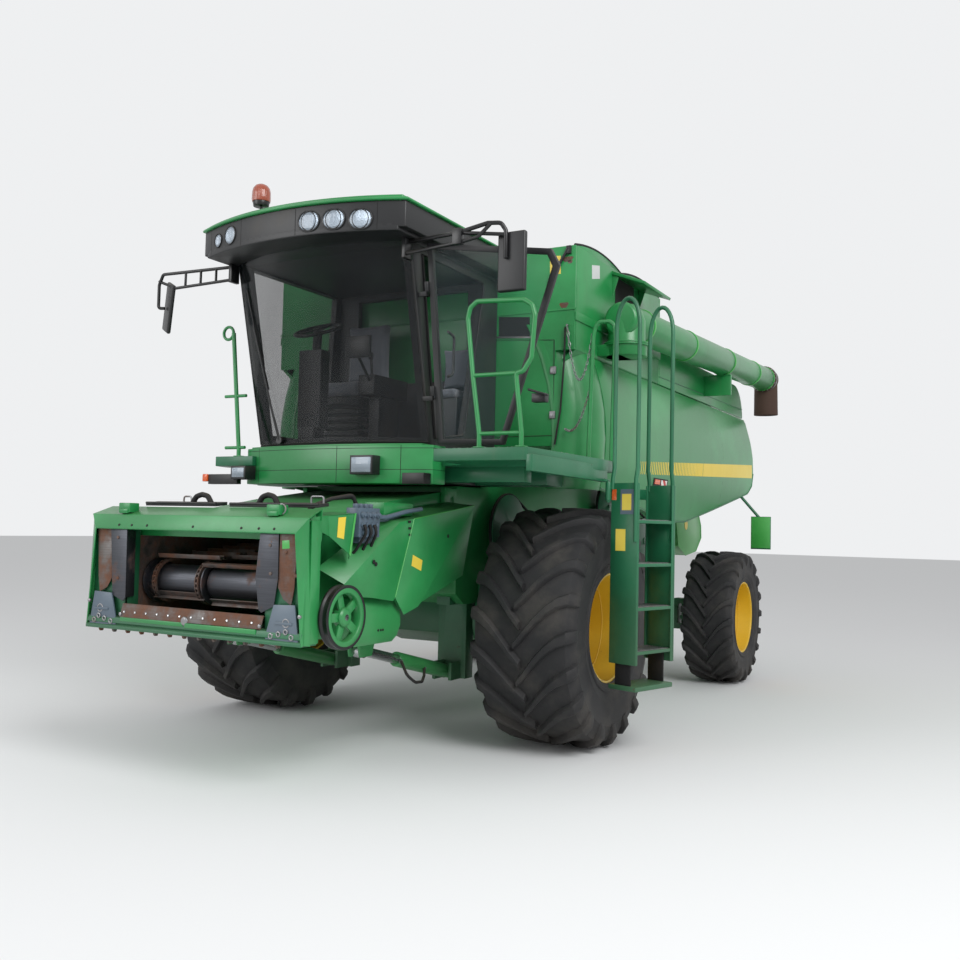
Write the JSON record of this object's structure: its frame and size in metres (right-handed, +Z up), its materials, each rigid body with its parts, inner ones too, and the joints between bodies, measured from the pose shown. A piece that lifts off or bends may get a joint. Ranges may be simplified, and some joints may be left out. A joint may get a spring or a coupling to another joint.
{
  "type": "self-propelled combine harvester without header",
  "caption": "Self-propelled grain combine with straw walkers, swing-out unloading auger, hollow tank and cab, and a lifting feeder house, without header.",
  "frame": {"origin": "middle of the footprint of the whole machine, on the ground", "axes": "+Z up, the machine faces -Y, its left side is +X"},
  "size_m": [4.2628, 8.3383, 4.34],
  "materials": {
    "green_paint": "semi-gloss, dusty",
    "dark_green_paint": "semi-gloss, dusty",
    "bright_green_paint": "semi-gloss",
    "yellow_paint": "semi-gloss, dusty",
    "black_plastic": "matt",
    "black_rubber": "matt",
    "tyre_rubber": "matt, dusty",
    "worn_steel": "worn bright with light rust",
    "engine_iron": "matt",
    "chrome_rod": "polished",
    "tinted_glass": "smooth, tinted",
    "clear_glass": "smooth",
    "lamp_glass": "smooth",
    "orange_plastic": "gloss",
    "seat_cloth": "woven"
  },
  "bodies": {
    "machine": {"chassis_frame": "dark_green_paint", "front_axle": "dark_green_paint", "rear_axle": "dark_green_paint", "threshing_body": "green_paint", "straw_chopper": "bright_green_paint", "grain_tank": "green_paint", "tank_auger": "worn_steel", "engine_block": "engine_iron", "engine_deck": "green_paint", "screen_housing": "green_paint", "cab_shell": "black_plastic", "cab_roof": "green_paint", "roof_fascia": "black_plastic", "cab_glass": "tinted_glass", "operator_seat": "seat_cloth", "buddy_seat": "seat_cloth", "seat_bases": "black_plastic", "cab_controls": "black_plastic", "platforms": "dark_green_paint", "guard_rails": "green_paint", "mirrors": "black_plastic", "lamps": "lamp_glass", "beacon": "orange_plastic", "tank_flaps": "green_paint", "drive_pulleys": "dark_green_paint", "drive_belts": "black_rubber", "lamp_boards": "dark_green_paint", "rail_chains": "worn_steel", "exhaust": "worn_steel", "fuel_tank": "black_plastic", "rear_ladder": "dark_green_paint", "auger_turret": "green_paint"},
    "wheel_front_left": {"tyre_front_left": "tyre_rubber", "rim_front_left": "yellow_paint"},
    "wheel_front_right": {"tyre_front_right": "tyre_rubber", "rim_front_right": "yellow_paint"},
    "wheel_rear_left": {"tyre_rear_left": "tyre_rubber", "rim_rear_left": "yellow_paint"},
    "wheel_rear_right": {"tyre_rear_right": "tyre_rubber", "rim_rear_right": "yellow_paint"},
    "knuckle_left": {"knuckle_left": "dark_green_paint"},
    "knuckle_right": {"knuckle_right": "dark_green_paint"},
    "feeder": {"feeder_house": "green_paint", "feeder_frame": "green_paint", "feeder_drum": "worn_steel", "feeder_shields": "green_paint"},
    "feeder_pulley": {"feeder_pulley": "black_plastic"},
    "lift_barrels": {"lift_barrels": "green_paint"},
    "lift_rods": {"lift_rods": "chrome_rod"},
    "unloading_auger": {"auger_tube": "green_paint", "auger_spout": "black_rubber"},
    "cab_door": {"cab_door": "black_plastic", "cab_door_glass": "clear_glass"},
    "cover_front": {"tank_cover_front": "green_paint"},
    "cover_rear": {"tank_cover_rear": "green_paint"},
    "ladder": {"ladder": "dark_green_paint"},
    "shield_left": {"side_shield_left": "green_paint"},
    "shield_right": {"side_shield_right": "green_paint"},
    "air_screen": {"screen_drum": "black_plastic"}
  },
  "joints": [
    {"name": "front_left_roll", "type": "hinge", "parent": "machine", "child": "wheel_front_left", "pos_m": [1.29, -1.53, 0.925], "axis": [1, 0, 0], "continuous": true},
    {"name": "front_right_roll", "type": "hinge", "parent": "machine", "child": "wheel_front_right", "pos_m": [-1.63, -1.53, 0.925], "axis": [1, 0, 0], "continuous": true},
    {"name": "steer_left", "type": "hinge", "parent": "machine", "child": "knuckle_left", "pos_m": [1.02, 2.5, 0.732], "axis": [0, 0, 1], "range_deg": [-35, 35]},
    {"name": "steer_right", "type": "hinge", "parent": "machine", "child": "knuckle_right", "pos_m": [-1.36, 2.5, 0.732], "axis": [0, 0, 1], "range_deg": [-35, 35]},
    {"name": "rear_left_roll", "type": "hinge", "parent": "knuckle_left", "child": "wheel_rear_left", "pos_m": [1.42, 2.5, 0.732], "axis": [1, 0, 0], "continuous": true},
    {"name": "rear_right_roll", "type": "hinge", "parent": "knuckle_right", "child": "wheel_rear_right", "pos_m": [-1.76, 2.5, 0.732], "axis": [1, 0, 0], "continuous": true},
    {"name": "feeder_lift", "type": "hinge", "parent": "machine", "child": "feeder", "pos_m": [-0.17, -2.09, 1.88], "axis": [-1, 0, 0], "range_deg": [-12, 7]},
    {"name": "feeder_pulley_spin", "type": "hinge", "parent": "feeder", "child": "feeder_pulley", "pos_m": [0.79, -3.82, 1.11], "axis": [1, 0, 0], "continuous": true},
    {"name": "lift_barrel_swing", "type": "hinge", "parent": "machine", "child": "lift_barrels", "pos_m": [-0.17, -1.88, 0.52], "axis": [-1, 0, 0], "range_deg": [-7.1, 4.2]},
    {"name": "lift_rod_slide", "type": "slide", "parent": "lift_barrels", "child": "lift_rods", "axis": [0, -0.973, 0.2309], "range_m": [-0.272, 0.159]},
    {"name": "auger_swing", "type": "hinge", "parent": "machine", "child": "unloading_auger", "pos_m": [1.535, -0.97, 3.23], "axis": [0, 0, -1], "range_deg": [0, 95]},
    {"name": "cab_door_swing", "type": "hinge", "parent": "machine", "child": "cab_door", "pos_m": [0.7, -2.63, 2.3], "axis": [0, 0.1518, -0.9884], "range_deg": [-90, 0]},
    {"name": "cover_front_lift", "type": "hinge", "parent": "machine", "child": "cover_front", "pos_m": [-0.17, -1.584, 3.963], "axis": [1, 0, 0], "range_deg": [0, 90]},
    {"name": "cover_rear_lift", "type": "hinge", "parent": "machine", "child": "cover_rear", "pos_m": [-0.17, 0.464, 3.963], "axis": [-1, 0, 0], "range_deg": [0, 90]},
    {"name": "ladder_swing", "type": "hinge", "parent": "machine", "child": "ladder", "pos_m": [1.74, -1.84, 1.95], "axis": [0, 0, 1], "range_deg": [-80, 10]},
    {"name": "shield_left_lift", "type": "hinge", "parent": "machine", "child": "shield_left", "pos_m": [1.337, 1.17, 3.07], "axis": [0, -1, 0], "range_deg": [0, 75]},
    {"name": "shield_right_lift", "type": "hinge", "parent": "machine", "child": "shield_right", "pos_m": [-1.677, 1.17, 3.07], "axis": [0, 1, 0], "range_deg": [0, 75]},
    {"name": "air_screen_spin", "type": "hinge", "parent": "machine", "child": "air_screen", "pos_m": [-1.62, 1.12, 3.55], "axis": [1, 0, 0], "continuous": true}
  ],
  "couplings": [
    {"joint": "steer_right", "follows": "steer_left", "ratio": 1},
    {"joint": "lift_barrel_swing", "follows": "feeder_lift", "ratio": 0.5841},
    {"joint": "lift_rod_slide", "follows": "feeder_lift", "m_per_rad": 1.2907}
  ]
}
